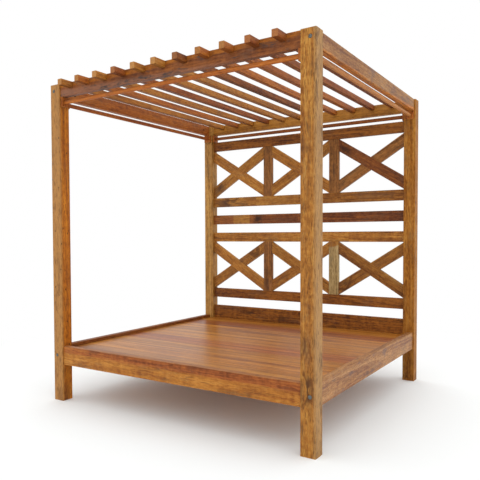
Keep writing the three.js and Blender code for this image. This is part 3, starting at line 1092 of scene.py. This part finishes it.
@dataclass
class BedFrame(SubAssembly):
    """The aprons round the bed, and the ledgers and bearer that carry its boards."""

    aprons: dict[str, Timber] = field(default_factory=lambda: {
        "front": Timber(
            Tone.RUSSET, 71, wave=0.03, second=Tone.HONEY, second_below=0.012, figure=0.5,
            mottle=0.6, flecks=0.4, sap=(0, 1, 0), sap_at=(0.054, 0.058), drift=-0.12,
            brightness=1.12,
        ),
        "left": Timber(Tone.CHESTNUT, 72),
        "right": Timber(Tone.TAN, 73, clouds=0.75, lacquer=0.34, brightness=1.04),
    })
    carriers: tuple[str, ...] = ("deck_ledger_left", "deck_ledger_right", "deck_bearer")
    carrier_seed: int = 75

    def boards(self) -> Iterator[Board]:
        """Names the aprons, ledgers and bearer, each with its timber and its lay.

        Yields:
            One board after another.
        """
        for side, timber in self.aprons.items():
            node = f"apron_{side}"
            along = RIGHT if side == "front" else BACK
            yield node, timber, Lay.of(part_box(node), along, UP)
        for seed, node in enumerate(self.carriers, self.carrier_seed):
            timber = Timber(Tone.AMBER, seed, gloss=0.4, clouds=0.3)
            yield node, timber, Lay.of(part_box(node), BACK, UP)


@dataclass
class BackPanel(SubAssembly):
    """The bottom board, rails, stiles and crossed braces between the rear posts."""

    brace_width: float = 78 * MM
    brace_seed: int = 101
    level_boards: dict[str, Timber] = field(default_factory=lambda: {
        "back_bottom_board": Timber(
            Tone.UMBER, 81, wave=0.03, clouds=0.6, figure=0.6, veins=0.9, brightness=1.15,
        ),
        "back_rail_1": Timber(Tone.UMBER, 82, drift=0.1),
        "back_rail_2": Timber(
            Tone.GOLDEN, 83, block=0.42, block_contrast=0.3, drift=-0.1,
            knots=(Knot((-0.64, 0, 0), (0.22, 0.1, 0.1), 1),),
        ),
        "back_rail_3": Timber(
            Tone.CHESTNUT, 84, block=0.42, block_contrast=0.35, drift=-0.2,
            inset=Tone.GOLDEN, inset_from=-0.62, inset_to=-0.46,
            knots=(Knot((-0.38, 0, 0), (0.07, 0.1, 0.1), 0.9),),
        ),
        "back_rail_4": Timber(
            Tone.GOLDEN, 85, figure=0.6, block=0.5, block_contrast=0.2, drift=0.05, brightness=1.2,
        ),
        "back_rail_5": Timber(Tone.UMBER, 86, drift=0.15, brightness=1.1),
    })
    stiles: dict[str, Timber] = field(default_factory=lambda: {
        "upper_1": Timber(Tone.WALNUT, 91, clouds=0.6),
        "upper_2": Timber(Tone.WALNUT, 92, clouds=0.6),
        "lower_1": Timber(Tone.WALNUT, 93, brightness=1.15),
        "lower_2": Timber(Tone.GREY, 94, second=Tone.GOLDEN, second_way=(-1, 0, 0), second_below=-0.17),
    })
    braces: dict[str, tuple[Tone, float]] = field(default_factory=lambda: {
        "upper_1_falling": (Tone.GOLDEN, 1.18), "upper_1_rising": (Tone.GOLDEN, 0.98),
        "upper_2_falling": (Tone.GOLDEN, 1.18), "upper_2_rising": (Tone.GOLDEN, 1.04),
        "upper_3_falling": (Tone.CHESTNUT, 0.92), "upper_3_rising": (Tone.WALNUT, 1.1),
        "lower_1_falling": (Tone.GOLDEN, 1.2), "lower_1_rising": (Tone.GOLDEN, 1),
        "lower_2_falling": (Tone.GOLDEN, 0.98), "lower_2_rising": (Tone.GOLDEN, 1.04),
        "lower_3_falling": (Tone.GOLDEN, 0.86), "lower_3_rising": (Tone.GOLDEN, 0.9),
    })
    dark_places: dict[str, float] = field(default_factory=lambda: {
        "upper_1_rising": -0.22, "upper_2_rising": 0.2, "upper_3_falling": -0.24,
        "lower_1_rising": 0.2, "lower_3_rising": -0.24,
    })

    def boards(self) -> Iterator[Board]:
        """Names the panel's boards, each with its timber and its lay.

        Yields:
            One board after another.
        """
        for node, timber in self.level_boards.items():
            yield node, timber, Lay.of(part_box(node), RIGHT, UP)
        for place, timber in self.stiles.items():
            node = f"back_stile_{place}"
            yield node, timber, Lay.of(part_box(node), UP, RIGHT)
        for seed, (place, (tone, brightness)) in enumerate(self.braces.items(), self.brace_seed):
            node = f"brace_{place}"
            knots = ()
            if place in self.dark_places:
                knots = (Knot((self.dark_places[place], 0, 0), (0.12, 0.08, 0.08), 0.8),)
            timber = Timber(
                tone, seed, streaks=0.6, clouds=0.5, figure=0.4, brightness=brightness, knots=knots,
            )
            yield node, timber, self._brace_lay(node)

    def _brace_lay(self, node: str) -> Lay:
        """Works out how a brace slopes in its bay.

        Args:
            node: The brace's CAD node.

        Returns:
            The brace's lay.
        """
        low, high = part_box(node)
        run = high.x - low.x
        rise = high.z - low.z
        diagonal = math.hypot(run, rise)
        slope = math.acos(self.brace_width / diagonal) - math.atan2(run, rise)
        turn = -slope if node.endswith("rising") else slope
        spin = Matrix.Rotation(turn, 3, BACK)
        half = (diagonal / 2, self.brace_width / 2, (high.y - low.y) / 2)
        return Lay((low + high) / 2, spin @ RIGHT, spin @ UP, BACK, half)


@dataclass
class BedBoards:
    """The boards of the bed, which lie side by side on the ledgers and the bearer."""

    joiner: Joiner
    pitch: float = 94 * MM
    joint: float = 0.16 * MM
    post_clearance: float = 2 * MM
    easing: float = 0.2 * MM
    golden_from: int = 17
    first_seed: int = 200
    tone_seed: int = 144
    brightness: Row = (1, 1.18)

    def build(self) -> list[bpy.types.Object]:
        """Makes the boards and finishes them.

        Returns:
            The boards, from the front.
        """
        low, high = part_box("deck_boards")
        count = round((high.y - low.y) / self.pitch)
        pitch = (high.y - low.y) / count
        boards = []
        for index in range(count):
            front = low.y + index * pitch + (self.joint / 2 if index else 0)
            rear = low.y + (index + 1) * pitch - (self.joint / 2 if index < count - 1 else 0)
            box = (Vector((-high.x, front, low.z)), Vector((high.x, rear, high.z)))
            boards.append(self._board(index, box))
        return boards

    def _board(self, index: int, box: tuple[Vector, Vector]) -> bpy.types.Object:
        """Makes one board.

        Args:
            index: The board's number, counted from 0 at the front.
            box: Its lowest and highest corner.

        Returns:
            The board.
        """
        low, high = box
        outline = self._outline(low.y, high.y, high.x)
        shape = bmesh.new()
        bottom = [shape.verts.new((x, y, low.z)) for x, y in outline]
        top = [shape.verts.new((x, y, high.z)) for x, y in outline]
        shape.faces.new(bottom)
        shape.faces.new(top)
        for place in range(len(outline)):
            following = (place + 1) % len(outline)
            shape.faces.new((bottom[place], bottom[following], top[following], top[place]))
        name = f"bed_board_{index + 1:02d}"
        finish = self._timber(index).material(f"timber_{name}", Lay.of(box, RIGHT, BACK))
        board = add_solid(name, shape, finish)
        self.joiner.ease(board, self.easing)
        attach(board, "root")
        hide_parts("deck_boards")
        return board

    def _outline(self, front: float, rear: float, end: float) -> list[tuple[float, float]]:
        """Draws a board's outline, which is notched where a post stands.

        Args:
            front: Where the board's front edge lies.
            rear: Where its rear edge lies.
            end: How far it reaches to the right of the middle.

        Returns:
            The corners, from the front right one round to the front left one.
        """
        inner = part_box("post_front_right")[0].x - self.post_clearance
        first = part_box("post_front_left")[1].y + self.post_clearance
        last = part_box("post_rear_left")[0].y - self.post_clearance
        steps = [front, *(step for step in (first, last) if front < step < rear), rear]
        right = []
        for start, stop in zip(steps, steps[1:]):
            x = end if first < (start + stop) / 2 < last else inner
            right += [(x, start), (x, stop)]
        return right + [(-x, y) for x, y in reversed(right)]

    def _timber(self, index: int) -> Timber:
        """Chooses a board's timber, in which neighbouring boards may share a tone.

        Args:
            index: The board's number, counted from 0 at the front.

        Returns:
            The timber.
        """
        source = random.Random(self.tone_seed + index // 2)
        tone = source.choice((Tone.FAWN, Tone.FAWN, Tone.ROSE))
        if index + 1 >= self.golden_from:
            tone = Tone.HONEY
        return Timber(
            tone, self.first_seed + index, pith=(0.01, 0.05), ring=0.04, grain=26, streaks=1.15,
            mottle=0.4, clouds=0.2, smoke=0, vein=(2.4, 45), veins=0.6, flecks=0.1, gloss=0.66,
            relief=0.12, wear=0, brightness=source.uniform(*self.brightness),
        )


@dataclass(frozen=True)
class Turning:
    """A turned part with a hexagon socket, which its outline's first points belong to.

    Attributes:
        outline: Radii and heights in millimetres, from the middle of its tip round to its back.
        sides: How many sides it is turned with.
    """

    outline: tuple[Row, ...]
    sides: int = 36

    SOCKET_RINGS = 3
    SOCKET_SIDES = 6

    def add_to(self, shape: bmesh.types.BMesh, place: Vector, outward: Vector) -> None:
        """Adds one part to a mesh.

        Args:
            shape: The mesh being made.
            place: Where the part's origin stands.
            outward: The direction that its tip points in.
        """
        turn = outward.to_track_quat("Z", "X").to_matrix()
        rings = []
        for number, (radius, height) in enumerate(self.outline):
            ring = []
            for side in range(self.sides if radius else 1):
                angle = math.tau * side / self.sides
                reach = radius * MM
                if number < self.SOCKET_RINGS:
                    reach *= self._flat(angle)
                offset = Vector((reach * math.cos(angle), reach * math.sin(angle), height * MM))
                ring.append(shape.verts.new(place + turn @ offset))
            rings.append(ring)
        for inner, outer in zip(rings, rings[1:]):
            self._skin(shape, inner, outer)

    def _flat(self, angle: float) -> float:
        """How far a straight-sided socket reaches in a direction, as a share of its corners."""
        half = math.pi / self.SOCKET_SIDES
        return math.cos(half) / math.cos(angle % (2 * half) - half)

    def _skin(
        self,
        shape: bmesh.types.BMesh,
        inner: list[bmesh.types.BMVert],
        outer: list[bmesh.types.BMVert],
    ) -> None:
        """Joins two rings, or a ring and a middle point, with faces.

        Args:
            shape: The mesh being made.
            inner: The first ring.
            outer: The second ring.
        """
        for side in range(self.sides):
            around = [(inner, side), (outer, side), (outer, side + 1), (inner, side + 1)]
            corners = [ring[place % len(ring)] for ring, place in around]
            shape.faces.new(tuple(dict.fromkeys(corners)))


@dataclass
class Fittings:
    """The bolts, cross nuts and screws."""

    joiner: Joiner
    plated: Steel = Steel("plated_steel", "#787b79", "#37332f", 0.36)
    bronzed: Steel = Steel("bronzed_steel", "#7a4a26", "#4a2c16", 0.5)
    # Painted shade: a near-black metal for the cross nuts, so that they read as the shade in their
    # bores.
    shade_black: Steel = Steel("shade_black_steel", "#1c1614", "#120c0a", 0.6)
    seat_depth: float = 2 * MM
    nut_set_in: float = 80 * MM
    nut_depth: float = 1.2 * MM
    screw_depth: float = 0.2 * MM
    plate_screw_offset: float = 21 * MM
    bolt: Turning = Turning((
        (0, 3.0), (2.6, 3.0), (2.9, 5.6), (3.6, 5.9), (5.2, 5.5), (7.0, 4.3), (8.2, 2.9), (8.5, 1.9),
        (8.3, 1.5), (9.6, 1.5), (10.0, 1.1), (10.0, 0.2), (4.2, 0), (4.2, -40), (0, -40),
    ))
    nut: Turning = Turning((
        (0, -1.4), (2.4, -1.4), (2.6, 0), (7.0, 0), (7.6, -0.6), (7.6, -26), (0, -26),
    ))
    screw: Turning = Turning(
        (
            (0, -1.8), (1.1, -1.8), (1.4, 0), (3.9, 0), (4.1, -0.2), (2.1, -3.6), (2.1, -12),
            (0, -12),
        ),
        sides=24,
    )

    def build(self) -> list[bpy.types.Object]:
        """Makes all the fittings and hands them back."""
        return [*self._bolts_and_nuts(), *self._slat_screws(), *self._plate_screws()]

    def _fit(
        self,
        name: str,
        turning: Turning,
        places: Iterable[tuple[Vector, Vector]],
        finish: Steel,
    ) -> bpy.types.Object:
        """Makes one object of turned parts.

        Args:
            name: The object's name.
            turning: The part.
            places: Each part's origin and the direction that it looks in.
            finish: The metal.

        Returns:
            The object.
        """
        shape = bmesh.new()
        for place, outward in places:
            turning.add_to(shape, place, outward)
        made = add_solid(name, shape, finish.material())
        self.joiner.smooth(made)
        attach(made, "root")
        return made

    def _bolts_and_nuts(self) -> Iterator[bpy.types.Object]:
        """Makes a bolt and a cross nut for each end of each side board.

        Yields:
            Each bolt, followed by its nut.
        """
        for level, board in (("upper", "beam"), ("lower", "apron")):
            for side in ("left", "right"):
                low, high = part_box(f"{board}_{side}")
                middle = (low + high) / 2
                inner = low.x if side == "right" else high.x
                inward = -RIGHT if side == "right" else RIGHT
                for end in ("front", "rear"):
                    outward = -BACK if end == "front" else BACK
                    post_low, post_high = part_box(f"post_{end}_{side}")
                    face = post_low.y if end == "front" else post_high.y
                    seat = Vector((middle.x, face, middle.z)) - outward * self.seat_depth
                    place = f"{level}_{end}_{side}"
                    yield self._fit(f"bolt_{place}", self.bolt, [(seat, outward)], self.plated)
                    board_end = low.y if end == "front" else high.y
                    hole = Vector((inner, board_end, middle.z))
                    hole -= outward * self.nut_set_in + inward * self.nut_depth
                    name = f"cross_nut_{place}"
                    # The cross nut gets the near-black metal as painted shade in its bore.
                    yield self._fit(name, self.nut, [(hole, inward)], self.shade_black)

    def _slat_screws(self) -> Iterator[bpy.types.Object]:
        """Makes the screws that hold the slats down on the beams.

        Yields:
            One object of screws for each beam.
        """
        for side in ("front", "rear"):
            low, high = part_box(f"beam_{side}")
            y = (low.y + high.y) / 2
            places = []
            for number in range(1, len(Canopy.tones) + 1):
                slat_low, slat_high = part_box(f"canopy_slat_{number:02d}")
                middle = (slat_low.x + slat_high.x) / 2
                places.append((Vector((middle, y, slat_high.z - self.screw_depth)), UP))
            yield self._fit(f"slat_screws_{side}", self.screw, places, self.plated)

    def _plate_screws(self) -> Iterator[bpy.types.Object]:
        """Makes the screws that hold the rod plates to the posts.

        Yields:
            One object of screws for each plate.
        """
        for side in ("front", "rear", "left", "right"):
            crosswise = side in ("front", "rear")
            axis, across = (RIGHT, BACK) if crosswise else (BACK, RIGHT)
            for end in ("left", "right") if crosswise else ("front", "rear"):
                name = f"rod_plate_{side}_{end}"
                low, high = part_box(name)
                outward = axis if end in ("left", "front") else -axis
                reach = abs((high - low).dot(axis)) / 2 - self.screw_depth
                face = (low + high) / 2 + outward * reach
                corner = (across + UP) * self.plate_screw_offset
                places = [(face - corner, outward), (face + corner, outward)]
                yield self._fit(f"{name}_screws", self.screw, places, self.bronzed)


@dataclass
class Studio:
    """The floor, the light and the camera."""

    eye: Vector = field(default_factory=lambda: Vector((1.970, -3.363, 1.050)))
    yaw: float = math.radians(34.53)
    pitch: float = math.radians(-1.92)
    roll: float = math.radians(-0.29)
    focal_pixels: float = 572.4
    middle_pixel: Row = (204.3, 254.4)
    picture_side: int = 480
    sensor_width: float = 36
    floor_half: float = 40.0
    floor_white_from: float = 0.85
    floor_white_at: float = 2.8
    floor_colour: str = "#f8fbfb"
    light_at_horizon: float = 1.25
    light_overhead: float = 1.2

    def build(self) -> list[bpy.types.Object]:
        """Makes the floor, world and camera.

        Returns:
            The floor and the camera.
        """
        bpy.context.scene.view_settings.view_transform = "Standard"
        self._light()
        return [self._floor(), self._camera()]

    def _light(self) -> None:
        """Lights the scene from all round, a little less from above, as a white tent does."""
        world = bpy.data.worlds.new("white_tent")
        graph = Graph(world)
        up = graph.node("ShaderNodeTexCoord", output="Generated").dot(UP)
        glow = self.light_at_horizon + up * (self.light_overhead - self.light_at_horizon)
        seen = self._seen(graph)
        strength = glow * (1 - seen) + seen
        graph.cover("ShaderNodeBackground", {"Color": (1, 1, 1), "Strength": strength})
        bpy.context.scene.world = world

    def _seen(self, graph: Graph) -> Signal:
        """Marks what the camera sees directly, in a reflection or through glass.

        Args:
            graph: The graph to build in.

        Returns:
            1 for such rays, and 0 for the rays that light the scene.
        """
        seen = graph.node("ShaderNodeLightPath", output="Is Camera Ray")
        for output in ("Is Glossy Ray", "Is Transmission Ray"):
            seen = seen.most(graph.node("ShaderNodeLightPath", output=output))
        return seen

    def _floor(self) -> bpy.types.Object:
        """Makes the floor, which keeps the daybed's shadow and is white further out.

        Returns:
            The floor.
        """
        mesh = bpy.data.meshes.new("studio_floor")
        half = self.floor_half
        corners = [(-half, -half, 0), (half, -half, 0), (half, half, 0), (-half, half, 0)]
        mesh.from_pydata(corners, [], [(0, 1, 2, 3)])
        floor = add_object("studio_floor", mesh)
        made = bpy.data.materials.new("floor_paint")
        graph = Graph(made)
        point = graph.node("ShaderNodeTexCoord", output="Object")
        far = point.length().rise(self.floor_white_from, self.floor_white_at)
        colour = {"Color": linear(self.floor_colour)}
        paint = graph.node("ShaderNodeBsdfDiffuse", sockets=colour)
        white = graph.node("ShaderNodeEmission", sockets={"Color": (1, 1, 1), "Strength": 1})
        share = far * self._seen(graph)
        graph.cover("ShaderNodeMixShader", {0: share, 1: paint, 2: white})
        mesh.materials.append(made)
        return floor

    def _camera(self) -> bpy.types.Object:
        """Stands the camera where the photograph was taken from.

        Returns:
            The camera.
        """
        ahead = Vector((
            -math.sin(self.yaw) * math.cos(self.pitch),
            math.cos(self.yaw) * math.cos(self.pitch),
            math.sin(self.pitch),
        ))
        level = Vector((math.cos(self.yaw), math.sin(self.yaw), 0))
        upright = level.cross(ahead)
        right = level * math.cos(self.roll) + upright * math.sin(self.roll)
        top = upright * math.cos(self.roll) - level * math.sin(self.roll)
        data = bpy.data.cameras.new("camera")
        data.sensor_width = self.sensor_width
        data.lens = self.sensor_width * self.focal_pixels / self.picture_side
        centre = self.picture_side / 2
        data.shift_x = (centre - self.middle_pixel[0]) / self.picture_side
        data.shift_y = (self.middle_pixel[1] - centre) / self.picture_side
        camera = add_object("camera", data)
        turn = Matrix((right, top, -ahead)).transposed()
        camera.matrix_world = Matrix.Translation(self.eye) @ turn.to_4x4()
        bpy.context.scene.camera = camera
        return camera


def main() -> None:
    """Builds the daybed's looks in order and reports each piece."""
    logging.basicConfig(level=logging.INFO, format="%(name)s: %(message)s")
    joiner = Joiner()
    for part, pieces in (
        ("studio", Studio().build()),
        ("posts", Posts(joiner).dress()),
        ("beams", Beams(joiner).dress()),
        ("canopy", Canopy(joiner).dress()),
        ("curtain rods", CurtainRods(joiner).dress()),
        ("bed frame", BedFrame(joiner).dress()),
        ("bed boards", BedBoards(joiner).build()),
        ("back panel", BackPanel(joiner).dress()),
        ("fittings", Fittings(joiner).build()),
    ):
        for piece in pieces:
            log.info("%s: %s", part, piece.name)


if __name__ == "__main__":
    main()
